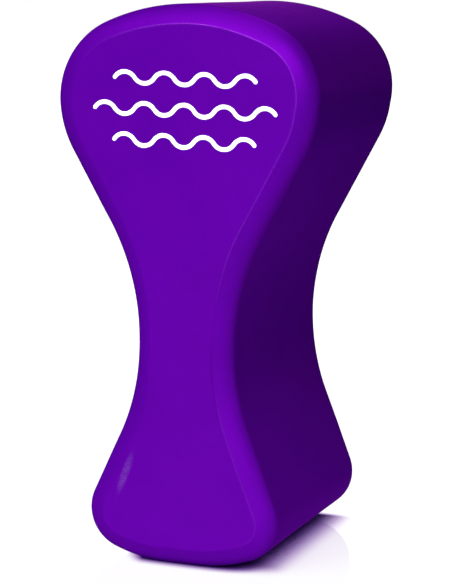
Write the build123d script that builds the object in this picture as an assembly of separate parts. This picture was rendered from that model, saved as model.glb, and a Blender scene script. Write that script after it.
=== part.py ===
from build123d import *
from math import cos, radians, tan
import os

# A pull buoy: one figure-eight block of closed-cell foam, with a thin print on its front face.
# Millimetres. The block stands on its sole with the length along Z, the width along X and the
# depth along Y. The front face looks towards -Y. The origin is on the ground under the centre.

# ---- the block -------------------------------------------------------------------------------
HEIGHT = 240.0
DEPTH = 115.0

# The outline is a polygon of guide corners, each rounded by its own radius.
# Half of it is given, for +X, from the crown down to the sole; the other half mirrors it.
CROWN_RADIUS = 94.0
CROWN_SLOPE = 23.6
SHOULDER_HALF_WIDTH = 61.7
SHOULDER_RADIUS = 34.2
CHEEK_HALF_WIDTH = 56.7
CHEEK_HEIGHT = 185.5
CHEEK_RADIUS = 44.0
WAIST_HALF_WIDTH = 10.2
WAIST_HEIGHT = 102.8
WAIST_RADIUS = 101.0
FOOT_HALF_WIDTH = 49.5
FOOT_HEIGHT = 10.8
FOOT_RADIUS = 17.9
SOLE_HALF_WIDTH = 18.6
SOLE_RADIUS = 33.0

# The crown arc touches HEIGHT at the middle and runs into the shoulder at the crown slope.
CROWN_PEAK = HEIGHT - CROWN_RADIUS + CROWN_RADIUS / cos(radians(CROWN_SLOPE))
SHOULDER_HEIGHT = CROWN_PEAK - SHOULDER_HALF_WIDTH * tan(radians(CROWN_SLOPE))

# A shallow bevel runs round the front face and the back face.
# Its outer edge, where it meets the side wall, is rounded over.
BEVEL_ACROSS_FACE = 8.3
BEVEL_DOWN_WALL = 4.5
BEVEL_OUTER_RADIUS = 5.0

# ---- the print -------------------------------------------------------------------------------
# Three rows of water waves, one above the other. A row is a chain of equal arcs, crest then
# trough, drawn as one even stroke with round ends. It starts and ends on a crest.
INK_THICKNESS = 0.3
STROKE_WIDTH = 1.8
WAVE_LENGTH = 18.0
WAVE_ARC_SWEEP = 110.0
WAVE_ROW_GAP = 13.0
MIDDLE_ROW_HEIGHT = 196.0
# how many half waves each row has, from the top row down
HALF_WAVES_IN_ROW = (7, 9, 7)


def guide_corners():
    """Guide corners of the +X half: across, up, and the radius that rounds the corner."""
    return [
        (0.0, CROWN_PEAK, CROWN_RADIUS),
        (SHOULDER_HALF_WIDTH, SHOULDER_HEIGHT, SHOULDER_RADIUS),
        (CHEEK_HALF_WIDTH, CHEEK_HEIGHT, CHEEK_RADIUS),
        (WAIST_HALF_WIDTH, WAIST_HEIGHT, WAIST_RADIUS),
        (FOOT_HALF_WIDTH, FOOT_HEIGHT, FOOT_RADIUS),
        (SOLE_HALF_WIDTH, 0.0, SOLE_RADIUS),
    ]


def body_outline():
    """The figure-eight outline, drawn flat with the height along Y."""
    right = guide_corners()
    left = [(-across, up, radius) for across, up, radius in reversed(right[1:])]
    corners = right + left
    outline = make_face(Polyline([(across, up) for across, up, _ in corners], close=True))
    for across, up, radius in corners:
        corner = outline.vertices().sort_by_distance((across, up, 0))[0]
        outline = fillet(corner, radius)
    return outline


def bevel_end(block, side):
    """Bevel the rim of the flat face that looks towards +Y (side 1) or -Y (side -1)."""
    face = block.faces().sort_by(Axis.Y)[-1 if side > 0 else 0]
    block = chamfer(face.edges(), BEVEL_ACROSS_FACE, BEVEL_DOWN_WALL, reference=face)
    wall_edge_y = side * (DEPTH / 2 - BEVEL_DOWN_WALL)
    rim = block.edges().filter_by_position(Axis.Y, wall_edge_y - 0.01, wall_edge_y + 0.01)
    return fillet(rim, BEVEL_OUTER_RADIUS)


def foam_body():
    """The float: one solid block of foam with beveled front and back rims."""
    block = extrude(Plane.XZ * body_outline(), DEPTH / 2, both=True)
    for side in (-1, 1):
        block = bevel_end(block, side)
    return block


def wave_row(half_waves):
    """One printed row, drawn flat and centred on the origin."""
    half_length = WAVE_LENGTH / 2
    rise = half_length / 2 * tan(radians(WAVE_ARC_SWEEP / 4))
    start = -half_waves * half_length / 2
    arcs = []
    for index in range(half_waves):
        left_end = start + index * half_length
        crest = rise if index % 2 == 0 else -rise
        middle = (left_end + half_length / 2, crest)
        arcs.append(ThreePointArc((left_end, 0), middle, (left_end + half_length, 0)))
    stroke = trace(arcs, STROKE_WIDTH)
    for end in (start, -start):
        stroke += Pos(end, 0) * Circle(STROKE_WIDTH / 2)
    return stroke


def front_print():
    """The ink film: three wave rows lying on the front face."""
    rows = []
    for index, half_waves in enumerate(HALF_WAVES_IN_ROW):
        height = MIDDLE_ROW_HEIGHT + WAVE_ROW_GAP * (1 - index)
        placed = Plane((0, -DEPTH / 2, height), x_dir=(1, 0, 0), z_dir=(0, -1, 0))
        rows.append(extrude(placed * wave_row(half_waves), INK_THICKNESS))
    return Compound(children=rows)


os.makedirs("parts", exist_ok=True)
export_step(foam_body(), "parts/foam_body.step")
export_step(front_print(), "parts/front_print.step")
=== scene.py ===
"""A violet foam pull buoy, standing on its small lobe in a white studio.

The block is one closed mesh: a ring of outline points carried from the front crease, over the
bevel, along the side wall and over the back bevel, with a quad patch filling each flat face.
The wave print is a set of thin ribbons of ink that follow the front face.
Metres, +Z up, front face towards -Y, as in the CAD frame.
"""
import math

import bpy
import numpy as np
from mathutils import Matrix, Vector, noise


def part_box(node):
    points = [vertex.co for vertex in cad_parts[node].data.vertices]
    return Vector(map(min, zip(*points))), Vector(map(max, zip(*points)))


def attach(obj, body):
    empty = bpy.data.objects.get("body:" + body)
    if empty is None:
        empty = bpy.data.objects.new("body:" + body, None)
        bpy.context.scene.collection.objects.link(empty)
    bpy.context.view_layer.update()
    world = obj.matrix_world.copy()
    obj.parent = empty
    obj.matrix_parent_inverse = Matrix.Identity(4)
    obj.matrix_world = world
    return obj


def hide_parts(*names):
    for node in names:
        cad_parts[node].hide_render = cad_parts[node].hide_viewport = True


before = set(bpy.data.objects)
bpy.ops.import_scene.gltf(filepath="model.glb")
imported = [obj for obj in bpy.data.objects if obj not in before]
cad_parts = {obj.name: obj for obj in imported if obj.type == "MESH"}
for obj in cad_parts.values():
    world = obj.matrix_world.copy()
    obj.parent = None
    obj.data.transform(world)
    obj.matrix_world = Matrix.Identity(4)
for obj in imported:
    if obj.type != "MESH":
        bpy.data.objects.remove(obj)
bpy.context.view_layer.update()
body_low, body_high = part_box("foam_body")
print_low, print_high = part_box("front_print")

MM = 0.001

# ---- sizes of the block ----------------------------------------------------------------------
HEIGHT = 240 * MM
HALF_DEPTH = (body_high[1] - body_low[1]) / 2

CROWN_RADIUS = 94 * MM
CROWN_SLOPE = math.radians(23.6)
CROWN_PEAK = HEIGHT - CROWN_RADIUS + CROWN_RADIUS / math.cos(CROWN_SLOPE)


def shoulder(across, radius):
    """The guide corner at the end of the crown's straight slope."""
    return (across, CROWN_PEAK - abs(across) * math.tan(CROWN_SLOPE), radius)


# Guide corners of the outline: across, up, rounding radius. First the crown, then down the +X
# side and up the -X side. The foam isn't cut quite true: both lobes are a little fuller on the
# -X side, and the waist is on the +X side.
RIGHT_CORNERS = [
    (0.0, CROWN_PEAK, CROWN_RADIUS),
    shoulder(60.9 * MM, 32.5 * MM),
    (55.3 * MM, 186.2 * MM, 44.2 * MM),
    (11.7 * MM, 102.8 * MM, 101 * MM),
    (48.7 * MM, 11.4 * MM, 17.8 * MM),
    (17.6 * MM, 0.0, 65 * MM),
]
LEFT_CORNERS = [
    (-19.7 * MM, 0.0, 65 * MM),
    (-50.4 * MM, 10.1 * MM, 17.9 * MM),
    (-8.6 * MM, 102.8 * MM, 101 * MM),
    (-58.2 * MM, 184.8 * MM, 43.6 * MM),
    shoulder(-62.6 * MM, 36.0 * MM),
]
CORNERS = RIGHT_CORNERS + LEFT_CORNERS
SHOULDER_RIGHT, FOOT_RIGHT, FOOT_LEFT, SHOULDER_LEFT = 1, 4, 7, 10

# The bevel leaves the flat face at a crease, slopes away and turns into the wall.
# Round the big lobe it turns early and gently; further down it's flatter, with a tighter edge.
BEVEL_WIDTH = 8.4 * MM
CREASE_TILT = math.radians(23)
EDGE_TIGHTNESS_TOP = 1.9
EDGE_TIGHTNESS_LOW = 2.6
EDGE_SOFT_FROM, EDGE_SOFT_TO = 20 * MM, 190 * MM
# The crease is crisp on the +X side and over the crown, and softer, in a rounder bevel, on the
# other side. Crispness goes from none to full over this distance across the face.
CRISP_CREASE_RADIUS, SOFT_CREASE_RADIUS = 1.8 * MM, 5.0 * MM
SOFT_CREASE_TILT = math.radians(14)
SOFT_EDGE_TIGHTNESS = 1.5
CRISP_FROM, CRISP_TO = -25 * MM, 22 * MM
CRISP_LEAN = 0.35
# the bevel is firm all along the foot
FIRM_FOOT_TO, FIRM_FOOT_FROM = 15 * MM, 60 * MM

# ---- unevenness of the cut foam --------------------------------------------------------------
BEVEL_WANDER = 0.35 * MM
TILT_WANDER = math.radians(2)
WANDER_LENGTH = 30 * MM
# the two faces draw their unevenness from different places in the noise
FRONT_SEED, BACK_SEED = 0.0, 5.0
BROAD_LUMP_HEIGHT, BROAD_LUMP_LENGTH = 0.16 * MM, 42 * MM
SMALL_LUMP_HEIGHT, SMALL_LUMP_LENGTH = 0.05 * MM, 12 * MM
# cutting streaks run round and up the wall, and follow each other along the depth
CUT_STREAK_HEIGHT = 0.05 * MM
CUT_STREAK_LENGTH, CUT_STREAK_SPACING = 60 * MM, 7 * MM
CUT_STREAK_FADE_ROWS = 4

# ---- mesh density ----------------------------------------------------------------------------
ARC_STEPS = 61
ACROSS_STEPS = 72
ALONG_STEPS = 168
CREASE_STEPS = 5
BEVEL_STEPS = 24
WALL_STEPS = 44

# ---- the print -------------------------------------------------------------------------------
WAVE_LENGTH = 18 * MM
WAVE_ARC_SWEEP = math.radians(110)
WAVE_ROW_GAP = 13 * MM
HALF_WAVES_IN_ROW = (7, 9, 7)
STROKE_HALF_WIDTH = 0.9 * MM
INK_HEIGHT = 0.12 * MM
INK_SUNK = 0.05 * MM
# how much the stroke's width wanders, and how fast, from one point of the line to the next
INK_RAGGED, INK_RAGGED_STEP = 0.05, 0.35
INK_ARC_STEPS = 22
INK_ACROSS_STEPS = 8
INK_END_STEPS = 6
# the stroke's very tip keeps this share of its width, so that no face has zero area
INK_TIP_SHARE = 0.06


def unit(vector):
    return vector / np.linalg.norm(vector)


def round_corner(before, here, after, radius, steps):
    """Points along the arc that rounds the corner at here."""
    to_before = unit(before - here)
    to_after = unit(after - here)
    half_angle = math.acos(to_before @ to_after) / 2
    centre = here + unit(to_before + to_after) * radius / math.sin(half_angle)
    first = here + to_before * radius / math.tan(half_angle) - centre
    last = here + to_after * radius / math.tan(half_angle) - centre
    shares = np.linspace(0, 1, steps)
    return [centre + radius * unit(first * (1 - share) + last * share) for share in shares]


def resample(points, count):
    """The open line through points, as count equal steps."""
    lengths = np.linalg.norm(np.diff(points, axis=0), axis=1)
    travelled = np.concatenate([[0], np.cumsum(lengths)])
    stops = np.linspace(0, travelled[-1], count + 1)
    return np.stack([np.interp(stops, travelled, column) for column in points.T], axis=1)


def outline_ring():
    """Outline points and outward normals, clockwise from the left shoulder, seen from the front."""
    points = []
    for index, (across, up, radius) in enumerate(CORNERS):
        before = np.array(CORNERS[index - 1][:2])
        after = np.array(CORNERS[(index + 1) % len(CORNERS)][:2])
        points += round_corner(before, np.array([across, up]), after, radius, ARC_STEPS)
    start = SHOULDER_LEFT * ARC_STEPS + ARC_STEPS // 2
    points = np.roll(np.array(points), -start, axis=0)
    points = np.vstack([points, points[:1]])
    splits = []
    for corner in (SHOULDER_LEFT, SHOULDER_RIGHT, FOOT_RIGHT, FOOT_LEFT):
        splits.append((corner * ARC_STEPS + ARC_STEPS // 2 - start) % (len(points) - 1))
    splits.append(len(points) - 1)
    sides = []
    for first, last, count in zip(
        splits[:-1], splits[1:], (ACROSS_STEPS, ALONG_STEPS, ACROSS_STEPS, ALONG_STEPS)
    ):
        sides.append(resample(points[first : last + 1], count)[:-1])
    ring = np.vstack(sides)
    along = np.roll(ring, -1, axis=0) - np.roll(ring, 1, axis=0)
    along /= np.linalg.norm(along, axis=1)[:, None]
    return ring, np.stack([-along[:, 1], along[:, 0]], axis=1)


def smooth_step(value, low, high):
    share = min(max((value - low) / (high - low), 0.0), 1.0)
    return share * share * (3 - 2 * share)


def crispness(across, up):
    """1 where the crease is crisp, 0 where it's soft."""
    return smooth_step(across + CRISP_LEAN * (up - HEIGHT / 2), CRISP_FROM, CRISP_TO)


def between(share, low, high):
    return low + (high - low) * share


def bevel_section(width, crease_radius, crease_tilt, tightness):
    """Cross-section from the flat face to the wall, as (inset from the outline, depth) pairs.

    It's walked in short steps, each tilted a little further away from the flat face.
    """
    turned = np.linspace(0, 1, BEVEL_STEPS + 1) ** tightness
    slope = crease_tilt + (math.pi / 2 - crease_tilt) * (turned[1:] + turned[:-1]) / 2
    crease = crease_tilt * (np.arange(CREASE_STEPS) + 0.5) / CREASE_STEPS
    crease_step = crease_radius * crease_tilt / CREASE_STEPS
    slope_step = (width - crease_step * np.cos(crease).sum()) / np.cos(slope).sum()
    tilts = np.concatenate([crease, slope])
    steps = np.array([crease_step] * CREASE_STEPS + [slope_step] * BEVEL_STEPS)
    across = np.concatenate([[0], np.cumsum(steps * np.cos(tilts))])
    deep = np.concatenate([[0], np.cumsum(steps * np.sin(tilts))])
    return np.stack([width - across, deep], axis=1)


def ring_sections(ring, seed):
    """One bevel section for each outline point, with the small unevenness of cut foam."""
    sections = []
    for across, up in ring:
        crisp = 1 - (1 - crispness(across, up)) * smooth_step(up, FIRM_FOOT_TO, FIRM_FOOT_FROM)
        soft = smooth_step(up, EDGE_SOFT_FROM, EDGE_SOFT_TO)
        tightness = between(soft, EDGE_TIGHTNESS_LOW, EDGE_TIGHTNESS_TOP)
        tightness = between(crisp, SOFT_EDGE_TIGHTNESS, tightness)
        radius = between(crisp, SOFT_CREASE_RADIUS, CRISP_CREASE_RADIUS)
        tilt = between(crisp, SOFT_CREASE_TILT, CREASE_TILT)
        place = Vector((across, seed, up)) / WANDER_LENGTH
        width = BEVEL_WIDTH + BEVEL_WANDER * noise.noise(place)
        tilt += TILT_WANDER * noise.noise(place + Vector((7, 3, 1)))
        sections.append(bevel_section(width, radius, tilt, tightness))
    return np.array(sections)


def swell(point):
    """How far the foam's skin stands proud of true at a point: low, broad lumps."""
    place = Vector(point)
    broad = noise.noise(place / BROAD_LUMP_LENGTH)
    small = noise.noise(place / SMALL_LUMP_LENGTH + Vector((5, 9, 2)))
    return BROAD_LUMP_HEIGHT * broad + SMALL_LUMP_HEIGHT * small


def wall_streak(point):
    """Long shallow marks that the cutting wire leaves on the wall, across its travel."""
    across = point[0] / CUT_STREAK_LENGTH
    deep = point[1] / CUT_STREAK_SPACING
    up = point[2] / CUT_STREAK_LENGTH
    return CUT_STREAK_HEIGHT * noise.noise(Vector((across, deep, up)))


def face_patch(rim):
    """Fills a closed rim of points with a grid, blended from its four sides."""
    top = rim[: ACROSS_STEPS + 1]
    right = rim[ACROSS_STEPS : ACROSS_STEPS + ALONG_STEPS + 1]
    bottom = rim[ACROSS_STEPS + ALONG_STEPS : 2 * ACROSS_STEPS + ALONG_STEPS + 1][::-1]
    left = np.vstack([rim[2 * ACROSS_STEPS + ALONG_STEPS :], rim[:1]])[::-1]
    u = np.linspace(0, 1, ACROSS_STEPS + 1)[None, :, None]
    v = np.linspace(0, 1, ALONG_STEPS + 1)[:, None, None]
    ruled = (1 - v) * top[None] + v * bottom[None] + (1 - u) * left[:, None] + u * right[:, None]
    corners = (1 - u) * (1 - v) * top[0] + u * (1 - v) * top[-1]
    corners = corners + (1 - u) * v * bottom[0] + u * v * bottom[-1]
    return ruled - corners


def rim_index(row, column):
    """Number round the rim of a grid place on its border."""
    if row == 0:
        return column
    if column == ACROSS_STEPS:
        return ACROSS_STEPS + row
    if row == ALONG_STEPS:
        return ACROSS_STEPS + ALONG_STEPS + (ACROSS_STEPS - column)
    return (2 * ACROSS_STEPS + 2 * ALONG_STEPS - row) % (2 * (ACROSS_STEPS + ALONG_STEPS))


def patch_faces(rim_start, inner_start, flip):
    """Quads of a filled face. Border places use the rim's vertices, the rest their own."""

    def index(row, column):
        if row in (0, ALONG_STEPS) or column in (0, ACROSS_STEPS):
            return rim_start + rim_index(row, column)
        return inner_start + (row - 1) * (ACROSS_STEPS - 1) + column - 1

    faces = []
    for row in range(ALONG_STEPS):
        for column in range(ACROSS_STEPS):
            quad = [
                index(row, column),
                index(row + 1, column),
                index(row + 1, column + 1),
                index(row, column + 1),
            ]
            faces.append(quad[::-1] if flip else quad)
    return faces


def block_rows(ring, normals):
    """Rows of ring points from the front crease over the wall to the back crease."""
    front = ring_sections(ring, FRONT_SEED)
    back = ring_sections(ring, BACK_SEED)
    rows = []
    for step in range(front.shape[1]):
        inset, depth = front[:, step, 0], front[:, step, 1]
        flat = ring - normals * inset[:, None]
        rows.append(np.stack([flat[:, 0], -HALF_DEPTH + depth, flat[:, 1]], axis=1))
    ends = []
    for step in range(back.shape[1]):
        inset, depth = back[:, step, 0], back[:, step, 1]
        flat = ring - normals * inset[:, None]
        ends.append(np.stack([flat[:, 0], HALF_DEPTH - depth, flat[:, 1]], axis=1))
    ends = ends[::-1]
    for share in np.linspace(0, 1, WALL_STEPS + 1)[1:-1]:
        rows.append(rows[front.shape[1] - 1] * (1 - share) + ends[0] * share)
    return rows + ends


def mesh_object(name, vertices, faces):
    mesh = bpy.data.meshes.new(name)
    mesh.from_pydata([tuple(vertex) for vertex in vertices], [], faces)
    mesh.validate()
    mesh.update()
    mesh.polygons.foreach_set("use_smooth", [True] * len(mesh.polygons))
    piece = bpy.data.objects.new(name, mesh)
    bpy.context.scene.collection.objects.link(piece)
    return piece


def skin_normals(mesh):
    normals = np.empty(len(mesh.vertices) * 3, dtype=np.float32)
    mesh.vertex_normals.foreach_get("vector", normals)
    return normals.reshape(-1, 3)


def make_block():
    ring, normals = outline_ring()
    rows = block_rows(ring, normals)
    count = len(ring)
    vertices = list(np.vstack(rows))
    faces = []
    for row in range(len(rows) - 1):
        for step in range(count):
            here = row * count + step
            beside = row * count + (step + 1) % count
            faces.append([here, beside, beside + count, here + count])
    for rim_row, flip in ((0, False), (len(rows) - 1, True)):
        inner = face_patch(rows[rim_row])[1:-1, 1:-1].reshape(-1, 3)
        faces += patch_faces(rim_row * count, len(vertices), flip)
        vertices += list(inner)
    block = mesh_object("foam_block", vertices, faces)
    roughen_block(block, len(rows), count)
    return block


def roughen_block(block, row_count, ring_count):
    """Presses the broad lumps and the cutting streaks into the skin and marks the creases."""
    mesh = block.data
    normals = skin_normals(mesh)
    mark = mesh.attributes.new("crease", "FLOAT", "POINT")
    marks = np.zeros(len(mesh.vertices), dtype=np.float32)
    wall_first = CREASE_STEPS + BEVEL_STEPS
    # The crease mark is strongest where the crease is crisp, on the side the light catches; it drives
    # the crease's gloss and a painted highlight in its colour.
    for index, vertex in enumerate(mesh.vertices):
        row = index // ring_count
        crisp = crispness(vertex.co.x, vertex.co.z)
        push = swell(vertex.co)
        if wall_first <= row < row_count - wall_first:
            from_edge = min(row - wall_first, row_count - 1 - wall_first - row)
            push += wall_streak(vertex.co) * min(from_edge / CUT_STREAK_FADE_ROWS, 1.0)
        elif row < CREASE_STEPS:
            marks[index] = crisp * math.sin(math.pi * (row + 0.5) / CREASE_STEPS)
        elif row_count - CREASE_STEPS <= row < row_count:
            marks[index] = crisp * math.sin(math.pi * (row_count - row - 0.5) / CREASE_STEPS)
        vertex.co = vertex.co + Vector(normals[index]) * push
        vertex.co.z = max(vertex.co.z, 0.0)
    mark.data.foreach_set("value", marks)
    mesh.update()


def wave_line(half_waves):
    """Centre line of one row, as (across, up) points about its middle."""
    half_length = WAVE_LENGTH / 2
    sweep = WAVE_ARC_SWEEP
    radius = half_length / 2 / math.sin(sweep / 2)
    points = []
    for index in range(half_waves):
        middle = (index + 0.5 - half_waves / 2) * half_length
        side = 1 if index % 2 == 0 else -1
        for angle in np.linspace(-sweep / 2, sweep / 2, INK_ARC_STEPS + 1)[:-1]:
            lift = radius * (math.cos(angle) - math.cos(sweep / 2))
            points.append((middle + radius * math.sin(angle), side * lift))
    points.append((half_waves * half_length / 2, 0.0))
    return resample(np.array(points), half_waves * INK_ARC_STEPS)


def stroke_ends(line):
    """Adds the points of the two round ends to a centre line and gives each point's half width."""
    first = unit(line[0] - line[1])
    last = unit(line[-1] - line[-2])
    angles = np.linspace(0, math.pi / 2, INK_END_STEPS + 1)[1:]
    reach = STROKE_HALF_WIDTH * np.sin(angles)
    taper = STROKE_HALF_WIDTH * np.maximum(np.cos(angles), INK_TIP_SHARE)
    before = [line[0] + first * step for step in reach][::-1]
    after = [line[-1] + last * step for step in reach]
    widths = [*taper[::-1], *([STROKE_HALF_WIDTH] * len(line)), *taper]
    return np.vstack([before, line, after]), np.array(widths)


def make_stroke(name, half_waves, centre_up):
    """One row of waves: a low rounded ribbon of ink lying on the front face."""
    line, widths = stroke_ends(wave_line(half_waves))
    along = np.gradient(line, axis=0)
    along /= np.linalg.norm(along, axis=1)[:, None]
    sideways = np.stack([-along[:, 1], along[:, 0]], axis=1)
    vertices = []
    shares = np.linspace(-1, 1, INK_ACROSS_STEPS + 1)
    for index, (middle, half_width) in enumerate(zip(line, widths)):
        wander = noise.noise(Vector((index * INK_RAGGED_STEP, centre_up * 100, 0.5)))
        ragged = 1 + INK_RAGGED * wander
        lower = []
        upper = []
        for share in shares:
            across, up = middle + sideways[index] * half_width * ragged * share
            up += centre_up
            skin = -HALF_DEPTH - swell((across, -HALF_DEPTH, up))
            rise = INK_HEIGHT * (1 - abs(share) ** 4) * min(half_width / STROKE_HALF_WIDTH, 1)
            upper.append((across, skin - rise, up))
            lower.append((across, skin + INK_SUNK, up))
        vertices += upper + lower[::-1]
    around = 2 * len(shares)
    faces = []
    for index in range(len(line) - 1):
        for step in range(around):
            here = index * around + step
            beside = index * around + (step + 1) % around
            faces.append([here, here + around, beside + around, beside])
    faces.append(list(range(around)))
    faces.append(list(range(len(vertices) - around, len(vertices)))[::-1])
    return mesh_object(name, vertices, faces)


# ---- materials -------------------------------------------------------------------------------
class Nodes:
    """A short way to write a node material."""

    def __init__(self, name):
        self.material = bpy.data.materials.new(name)
        self.material.use_nodes = True
        self.tree = self.material.node_tree
        self.shader = self.tree.nodes["Principled BSDF"]
        self.place = self.tree.nodes.new("ShaderNodeTexCoord").outputs["Object"]

    def add(self, kind, inputs=None, **settings):
        node = self.tree.nodes.new("ShaderNode" + kind)
        for key, value in settings.items():
            setattr(node, key, value)
        for key, value in (inputs or {}).items():
            self.set(node.inputs[key], value)
        return node

    def set(self, socket, value):
        if isinstance(value, bpy.types.NodeSocket):
            self.tree.links.new(value, socket)
        else:
            socket.default_value = value

    def noise(self, scale, detail, stretch=(1, 1, 1)):
        spread = self.add("Mapping", {"Vector": self.place, "Scale": stretch})
        inputs = {"Vector": spread.outputs[0], "Scale": scale, "Detail": detail}
        return self.add("TexNoise", inputs).outputs["Fac"]

    def cells(self, scale):
        return self.add("TexVoronoi", {"Vector": self.place, "Scale": scale}).outputs["Distance"]

    def range(self, value, low, high, to_low=0.0, to_high=1.0, interpolation="LINEAR"):
        inputs = {"Value": value, "From Min": low, "From Max": high}
        inputs.update({"To Min": to_low, "To Max": to_high})
        return self.add("MapRange", inputs, interpolation_type=interpolation).outputs["Result"]

    def math(self, operation, first, second):
        node = self.add("Math", operation=operation)
        self.set(node.inputs[0], first)
        self.set(node.inputs[1], second)
        return node.outputs[0]

    def mix(self, factor, first, second):
        node = self.add("Mix", data_type="RGBA")
        self.set(node.inputs["Factor"], factor)
        self.set(node.inputs[6], first)
        self.set(node.inputs[7], second)
        return node.outputs[2]

    def bump(self, height, distance, strength, under=None):
        inputs = {"Height": height, "Distance": distance, "Strength": strength}
        if under is not None:
            inputs["Normal"] = under
        return self.add("Bump", inputs).outputs["Normal"]

    def finish(self, **inputs):
        for key, value in inputs.items():
            self.set(self.shader.inputs[key.replace("_", " ")], value)
        return self.material


FOAM_DEEP = (0.0300, 0.0002, 0.112, 1)
FOAM_BRIGHT = (0.0375, 0.0003, 0.127, 1)
FOAM_GRAIN = (0.052, 0.0006, 0.180, 1)
FOAM_FLECK = (0.070, 0.0060, 0.210, 1)
# painted highlight: the lighter colour mixed in along the crease
CREASE_PAINTED_HIGHLIGHT = (0.055, 0.0030, 0.185, 1)
FOAM_SHINE = (0.50, 0.008, 1.0, 1)
FOAM_GLOSS = 0.044
# the crease is a thin, slightly polished line; every surface shines more when seen edge-on
CREASE_SHINE = (0.68, 0.16, 1.0, 1)
CREASE_GLOSS = 0.11
SHEEN_AT_EDGE = 0.07
SHEEN_SHINE = (1.0, 0.12, 1.0, 1)
# how steeply the sheen rises towards the edge
SHEEN_POWER = 12.0
# foam roughness where the grain is low and high, and how much smoother the crease is
ROUGHNESS_LOW, ROUGHNESS_HIGH = 0.38, 0.44
CREASE_SMOOTHING = 0.17
# how much of the painted crease highlight goes into the colour
CREASE_PAINTED_HIGHLIGHT_SHARE = 0.08
# the crease's polish is patchy, down to this share
WORN_SCALE, WORN_LEAST = 700, 0.45

# Mottling: how fine each layer is and its share of the whole. The streaks run round the wall.
CLOUD_SCALE, CLOUD_SHARE = 38, 0.45
BLOTCH_SCALE, BLOTCH_SHARE = 110, 0.30
STREAK_STRETCH, STREAK_SHARE = (14, 120, 14), 0.25
GRAIN_SCALE, GRAIN_SHARE = 1300, 0.22
FLECK_SCALE, FLECK_SHARE = 70, 0.6
# a fleck's radius, solid and faded out, in cells, and the share of cells that stay empty
FLECK_SOLID, FLECK_FADED = 0.018, 0.03
FLECK_EMPTY_CELLS = 0.55

# Relief too fine for the mesh: the foam's cells, and the skin between them
CELL_SCALE, CELL_DEPTH = 2300, 0.02 * MM
SKIN_SCALE, SKIN_DEPTH = 420, 0.06 * MM

# A painted highlight: a greyish, grainy patch of sheen on the crease near the foot, on the left: its
# middle, lean, half width and length.
PAINTED_SHEEN_PLACE = (-25.2 * MM, -HALF_DEPTH, 38.8 * MM)
PAINTED_SHEEN_LEAN = math.radians(20)
PAINTED_SHEEN_SIZE = (2.2 * MM, 5 * MM, 12 * MM)
PAINTED_SHEEN_COLOUR = (0.100, 0.045, 0.150, 1)
PAINTED_SHEEN_SHARE = 0.32
PAINTED_SHEEN_SOLID = 0.35
PAINTED_SHEEN_GRAIN_SCALE, PAINTED_SHEEN_GRAIN_LEAST = 1100, 0.15


def painted_sheen_mask(n):
    """1 in the middle of the painted highlight patch, fading to 0 at its edge, broken up by fine
    grain.
    """
    place = {"Vector": n.place, "Location": PAINTED_SHEEN_PLACE, "Rotation": (0, PAINTED_SHEEN_LEAN, 0)}
    place["Scale"] = PAINTED_SHEEN_SIZE
    local = n.add("Mapping", place, vector_type="TEXTURE").outputs[0]
    away = n.add("VectorMath", {0: local}, operation="LENGTH").outputs["Value"]
    patch = n.range(away, PAINTED_SHEEN_SOLID, 1.0, 1.0, 0.0, "SMOOTHSTEP")
    grain = n.range(n.noise(PAINTED_SHEEN_GRAIN_SCALE, 3), 0.38, 0.62, PAINTED_SHEEN_GRAIN_LEAST, 1.0)
    return n.math("MULTIPLY", patch, grain)


def fleck_mask(n):
    """Single pale specks: the middles of a few of the cells of a coarse pattern."""
    cell = n.add("TexVoronoi", {"Vector": n.place, "Scale": FLECK_SCALE})
    spot = n.range(cell.outputs["Distance"], FLECK_SOLID, FLECK_FADED, 1.0, 0.0)
    chosen = n.add("SeparateColor", {"Color": cell.outputs["Color"]}).outputs["Red"]
    return n.math("MULTIPLY", spot, n.math("GREATER_THAN", chosen, FLECK_EMPTY_CELLS))


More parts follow.
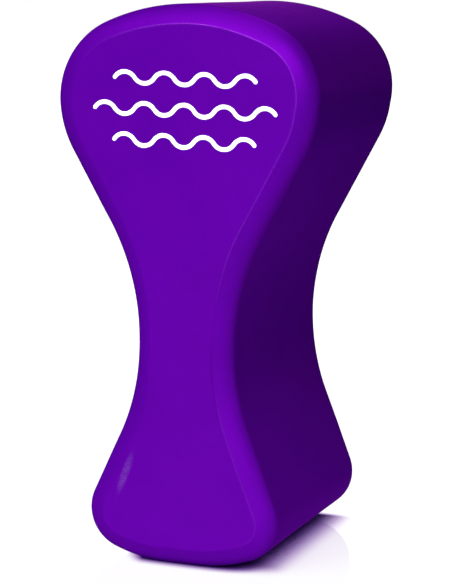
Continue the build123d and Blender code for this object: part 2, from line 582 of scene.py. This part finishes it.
def foam_material():
    n = Nodes("violet_foam")
    cloud = n.math("MULTIPLY", n.range(n.noise(CLOUD_SCALE, 3), 0.35, 0.65), CLOUD_SHARE)
    blotch = n.math("MULTIPLY", n.range(n.noise(BLOTCH_SCALE, 3), 0.35, 0.65), BLOTCH_SHARE)
    streak = n.noise(1.0, 2, stretch=STREAK_STRETCH)
    streak = n.math("MULTIPLY", n.range(streak, 0.35, 0.65), STREAK_SHARE)
    grain = n.range(n.noise(GRAIN_SCALE, 2), 0.3, 0.7)
    mottle = n.math("ADD", n.math("ADD", cloud, blotch), streak)
    colour = n.mix(mottle, FOAM_DEEP, FOAM_BRIGHT)
    colour = n.mix(n.math("MULTIPLY", grain, GRAIN_SHARE), colour, FOAM_GRAIN)
    colour = n.mix(n.math("MULTIPLY", fleck_mask(n), FLECK_SHARE), colour, FOAM_FLECK)
    # painted highlight: a greyish patch of sheen on the crease near the foot, on the left
    colour = n.mix(n.math("MULTIPLY", painted_sheen_mask(n), PAINTED_SHEEN_SHARE), colour, PAINTED_SHEEN_COLOUR)
    crease = n.add("Attribute", attribute_name="crease").outputs["Fac"]
    worn = n.range(n.noise(WORN_SCALE, 3), 0.35, 0.65, WORN_LEAST, 1.0)
    crease = n.math("MULTIPLY", crease, worn)
    # painted highlight: the crease mark lightens the colour a little, as the light catches the crisp
    # crease
    colour = n.mix(n.math("MULTIPLY", crease, CREASE_PAINTED_HIGHLIGHT_SHARE), colour, CREASE_PAINTED_HIGHLIGHT)
    cells = n.range(n.cells(CELL_SCALE), 0.0, 0.6)
    normal = n.bump(cells, CELL_DEPTH, 0.6)
    normal = n.bump(n.noise(SKIN_SCALE, 3), SKIN_DEPTH, 0.5, under=normal)
    roughness = n.range(grain, 0, 1, ROUGHNESS_LOW, ROUGHNESS_HIGH)
    roughness = n.math("SUBTRACT", roughness, n.math("MULTIPLY", crease, CREASE_SMOOTHING))
    shine = n.mix(n.math("MULTIPLY", crease, 0.8), FOAM_SHINE, CREASE_SHINE)
    gloss = {"Color": shine, "Roughness": roughness, "Normal": normal}
    amount = n.range(crease, 0, 1, FOAM_GLOSS, CREASE_GLOSS)
    facing = n.add("LayerWeight", {"Blend": 0.5}).outputs["Facing"]
    grazing = n.math("POWER", facing, SHEEN_POWER)
    gloss["Color"] = n.mix(grazing, shine, SHEEN_SHINE)
    gloss = n.add("BsdfGlossy", gloss).outputs[0]
    amount = n.math("ADD", amount, n.math("MULTIPLY", grazing, SHEEN_AT_EDGE))
    material = n.finish(Base_Color=colour, Roughness=0.6, Normal=normal, Specular_IOR_Level=0.0)
    blend = n.add("MixShader", {0: amount, 1: n.shader.outputs[0], 2: gloss})
    n.set(n.tree.nodes["Material Output"].inputs["Surface"], blend.outputs[0])
    return material


def ink_material():
    n = Nodes("white_ink")
    mottle = n.range(n.noise(500, 2), 0.35, 0.7)
    colour = n.mix(mottle, (0.86, 0.85, 0.88, 1), (0.93, 0.93, 0.94, 1))
    normal = n.bump(n.cells(CELL_SCALE), CELL_DEPTH / 2, 0.5)
    return n.finish(Base_Color=colour, Roughness=0.5, Normal=normal)


def open_sky(n, side, reach):
    """How open the floor is towards one side of the sky: 0 where the block shuts it all out."""
    lean = n.add("CombineXYZ")
    for axis, part in zip("XYZ", towards(*side)):
        n.set(lean.inputs[axis], part)
    inputs = {"Distance": reach, "Normal": lean.outputs[0]}
    return n.add("AmbientOcclusion", inputs, samples=OPEN_SKY_SAMPLES).outputs["AO"]


def floor_material():
    """Glossy white acrylic lit from below: it only darkens where the block shuts the light out.

    The shade at the foot is painted into the table's glow, and its violet tint is a painted bounce
    from the foam.
    """
    n = Nodes("white_floor")
    broad = open_sky(n, BROAD_SIDE, BROAD_REACH)
    broad = n.range(broad, BROAD_SHUT, BROAD_OPEN, BROAD_DARKEST, 1.0)
    near = open_sky(n, NEAR_SIDE, NEAR_REACH)
    near = n.range(near, NEAR_SHUT, NEAR_OPEN, interpolation="SMOOTHSTEP")
    contact = open_sky(n, CONTACT_SIDE, CONTACT_REACH)
    contact = n.range(contact, CONTACT_SHUT, CONTACT_OPEN, interpolation="SMOOTHSTEP")
    near = n.math("MULTIPLY", near, contact)
    spot = n.add("SeparateXYZ", {"Vector": n.place}).outputs
    behind_front = n.math("ADD", spot["Y"], HALF_DEPTH)
    across = n.math("ADD", spot["X"], n.math("MULTIPLY", behind_front, LIFTED_LEAN))
    pressed = n.range(across, LIFTED_TO, LIFTED_FROM, interpolation="SMOOTHSTEP")
    pressed = n.math("MULTIPLY", pressed, n.range(spot["Y"], BACK_SHADE_TO, BACK_SHADE_FROM))
    near = n.add("Mix", {"Factor": pressed, "A": 1.0, "B": near}).outputs["Result"]
    shade = n.math("MULTIPLY", broad, near)
    tint = n.add("CombineColor")
    for channel, power in zip(("Red", "Green", "Blue"), SHADE_TINT):
        n.set(tint.inputs[channel], n.math("POWER", shade, power))
    path = n.add("LightPath").outputs["Is Camera Ray"]
    away = n.add("VectorMath", {0: n.place}, operation="LENGTH").outputs["Value"]
    bounce = n.range(away, BOUNCE_FULL_TO, BOUNCE_NONE_FROM, BOUNCE_GLOW, 0.0)
    near_bounce = n.range(away, NEAR_BOUNCE_FULL_TO, NEAR_BOUNCE_NONE_FROM, NEAR_BOUNCE_GLOW, 0.0)
    bounce = n.math("ADD", bounce, near_bounce)
    glow = n.add("Mix", {"Factor": path, "A": bounce, "B": FLOOR_GLOW}).outputs["Result"]
    shine = n.add("Emission", {"Color": tint.outputs[0], "Strength": glow})
    mirror = n.add("BsdfGlossy", {"Color": near, "Roughness": FLOOR_ROUGHNESS}).outputs[0]
    facing = n.add("Fresnel", {"IOR": FLOOR_IOR}).outputs[0]
    polish = n.math("MULTIPLY", facing, n.range(away, POLISH_FULL_TO, POLISH_NONE_FROM, 1.0, 0.0))
    blend = n.add("MixShader", {0: polish, 1: shine.outputs[0], 2: mirror})
    n.set(n.tree.nodes["Material Output"].inputs["Surface"], blend.outputs[0])
    return n.material


# ---- studio ----------------------------------------------------------------------------------
FLOOR_RADIUS = 6.0
FLOOR_SIDES = 96
FLOOR_GLOW = 1.24
FLOOR_ROUGHNESS = 0.03
FLOOR_IOR = 1.45
# Shade on the table comes from three looks at how open it is to the sky. Each has the side it
# looks to, as azimuth and elevation in degrees, its reach, and the openness that counts as
# fully shut and as fully open.
OPEN_SKY_SAMPLES = 12
BROAD_SIDE, BROAD_REACH, BROAD_SHUT, BROAD_OPEN = (-70, 50), 120 * MM, 0.22, 0.60
BROAD_DARKEST = 0.72
NEAR_SIDE, NEAR_REACH, NEAR_SHUT, NEAR_OPEN = (-30, 30), 14 * MM, 0.40, 0.86
CONTACT_SIDE, CONTACT_REACH, CONTACT_SHUT, CONTACT_OPEN = (0, 90), 6 * MM, 0.05, 1.0
# how slowly red, green and blue come back in the shade at the block's foot
SHADE_TINT = (0.69, 1.0, 0.45)
# The foot curves up off the table at its front left corner, so the two closer shades stop there:
# there's none as far across as the first and all from the second, and both move out further back.
LIFTED_TO, LIFTED_FROM = -24 * MM, -16 * MM
LIFTED_LEAN = 0.5
# They stop short of the back edge too.
BACK_SHADE_FROM, BACK_SHADE_TO = HALF_DEPTH - 8 * MM, HALF_DEPTH - 3.5 * MM
BOUNCE_GLOW = 0.46
BOUNCE_FULL_TO, BOUNCE_NONE_FROM = 0.30, 0.60
NEAR_BOUNCE_GLOW = 0.5
NEAR_BOUNCE_FULL_TO, NEAR_BOUNCE_NONE_FROM = 0.12, 0.25
# the table mirrors the block, but not the far end of the studio
POLISH_FULL_TO, POLISH_NONE_FROM = 0.20, 0.45
# how bright the backdrop looks in glossy surfaces: behind the block, and in front of it
BACKDROP_BEHIND = 1.0
BACKDROP_IN_FRONT = 0.15
# it turns from one to the other over these parts of the way towards +Y
BACKDROP_TURN_FROM, BACKDROP_TURN_TO = -0.2, 0.3


def make_floor():
    """A round white table top, wide enough to reach the horizon."""
    vertices = [(0, 0, 0)]
    faces = []
    for index in range(FLOOR_SIDES):
        angle = 2 * math.pi * index / FLOOR_SIDES
        vertices.append((FLOOR_RADIUS * math.cos(angle), FLOOR_RADIUS * math.sin(angle), 0))
        faces.append([0, 1 + index, 1 + (index + 1) % FLOOR_SIDES])
    floor = mesh_object("studio_floor", vertices, faces)
    floor.data.materials.append(floor_material())


def make_world():
    """A white backdrop behind the block, for the camera and for reflections.

    It doesn't light the block: the softboxes and the glowing table do that.
    """
    world = bpy.data.worlds.new("studio")
    bpy.context.scene.world = world
    world.use_nodes = True
    tree = world.node_tree
    path = tree.nodes.new("ShaderNodeLightPath").outputs
    direction = tree.nodes.new("ShaderNodeSeparateXYZ")
    place = tree.nodes.new("ShaderNodeTexCoord").outputs["Generated"]
    tree.links.new(place, direction.inputs[0])
    behind = tree.nodes.new("ShaderNodeMapRange")
    behind.inputs["From Min"].default_value = BACKDROP_TURN_FROM
    behind.inputs["From Max"].default_value = BACKDROP_TURN_TO
    behind.inputs["To Min"].default_value = BACKDROP_IN_FRONT
    behind.inputs["To Max"].default_value = BACKDROP_BEHIND
    tree.links.new(direction.outputs["Y"], behind.inputs["Value"])
    strength = tree.nodes.new("ShaderNodeMath")
    strength.operation = "MULTIPLY_ADD"
    tree.links.new(path["Is Glossy Ray"], strength.inputs[0])
    tree.links.new(behind.outputs["Result"], strength.inputs[1])
    tree.links.new(path["Is Camera Ray"], strength.inputs[2])
    background = tree.nodes["Background"]
    background.inputs["Color"].default_value = (1, 1, 1, 1)
    tree.links.new(strength.outputs[0], background.inputs["Strength"])


def towards(azimuth, elevation):
    """The direction towards a place round the block. Azimuth 0 is in front, 90 to +X."""
    turn, rise = math.radians(azimuth), math.radians(elevation)
    return Vector((math.sin(turn) * math.cos(rise), -math.cos(turn) * math.cos(rise), math.sin(rise)))


def softbox(name, azimuth, elevation, distance, side, watts, gives):
    """A square area light that looks at the middle of the block.

    gives says what it's for: "diffuse" light or "gloss", the highlights.
    """
    away = towards(azimuth, elevation)
    lamp = bpy.data.lights.new(name, "AREA")
    lamp.size = side
    lamp.energy = watts
    holder = bpy.data.objects.new(name, lamp)
    bpy.context.scene.collection.objects.link(holder)
    holder.location = Vector((0, 0, HEIGHT / 2)) + away * distance
    holder.rotation_euler = (-away).to_track_quat("-Z", "Y").to_euler()
    holder.visible_camera = False
    holder.visible_diffuse = gives == "diffuse"
    holder.visible_glossy = gives == "gloss"


def make_lights():
    """Diffuse light from the front, the back and low down, and highlights mostly from the front."""
    softbox("key", -10, 35, 1.3, 0.6, 37.5, "diffuse")
    softbox("foot_front", 0, -12.9, 0.359, 0.15, 1.1, "diffuse")
    softbox("foot_right", 70, -14, 0.372, 0.15, 1.0, "diffuse")
    softbox("fill_back", 213, 5, 1.3, 0.6, 18, "diffuse")
    softbox("sheen_left", -15, 30, 3.0, 1.0, 38, "gloss")
    softbox("sheen_left_high", -45, 50, 1.3, 0.6, 4, "gloss")
    softbox("sheen_front", 5, 5, 1.3, 0.6, 2, "gloss")
    softbox("sheen_right", 22, 35, 1.3, 0.6, 11, "gloss")
    softbox("sheen_right_low", 24, 18, 1.3, 0.6, 6, "gloss")
    softbox("sheen_top", 0, 75, 1.3, 0.6, 7, "gloss")
    softbox("sheen_back", 180, 60, 1.3, 0.6, 7, "gloss")


CAMERA_TURN = math.radians(21.21)
CAMERA_DROP = math.radians(9.14)
CAMERA_ROLL = math.radians(0.96)
CAMERA_DISTANCE = 917.6 * MM
CAMERA_PAN = (2.15 * MM, 8.34 * MM)
CAMERA_LENS = 126.66


def make_camera():
    """The camera stands to the right of the front face and a little above the middle."""
    ahead = Vector((
        -math.sin(CAMERA_TURN) * math.cos(CAMERA_DROP),
        math.cos(CAMERA_TURN) * math.cos(CAMERA_DROP),
        -math.sin(CAMERA_DROP),
    ))
    level = Vector((math.cos(CAMERA_TURN), math.sin(CAMERA_TURN), 0))
    upright = level.cross(ahead)
    right = level * math.cos(CAMERA_ROLL) + upright * math.sin(CAMERA_ROLL)
    up = upright * math.cos(CAMERA_ROLL) - level * math.sin(CAMERA_ROLL)
    camera = bpy.data.objects.new("camera", bpy.data.cameras.new("camera"))
    bpy.context.scene.collection.objects.link(camera)
    camera.data.lens = CAMERA_LENS
    centre = Vector((0, 0, HEIGHT / 2))
    place = centre - right * CAMERA_PAN[0] - up * CAMERA_PAN[1] - ahead * CAMERA_DISTANCE
    turn = Matrix((right, up, -ahead)).transposed().to_4x4()
    camera.matrix_world = Matrix.Translation(place) @ turn
    bpy.context.scene.camera = camera


block = make_block()
block.data.materials.append(foam_material())
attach(block, "root")
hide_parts("foam_body")

ink = ink_material()
middle_row = (print_low[2] + print_high[2]) / 2
for index, half_waves in enumerate(HALF_WAVES_IN_ROW):
    row_up = middle_row + WAVE_ROW_GAP * (1 - index)
    stroke = make_stroke(f"wave_row_{index + 1}", half_waves, row_up)
    stroke.data.materials.append(ink)
    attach(stroke, "root")
    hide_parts("front_print")

make_floor()
make_world()
make_lights()
make_camera()
bpy.context.scene.view_settings.view_transform = "Standard"
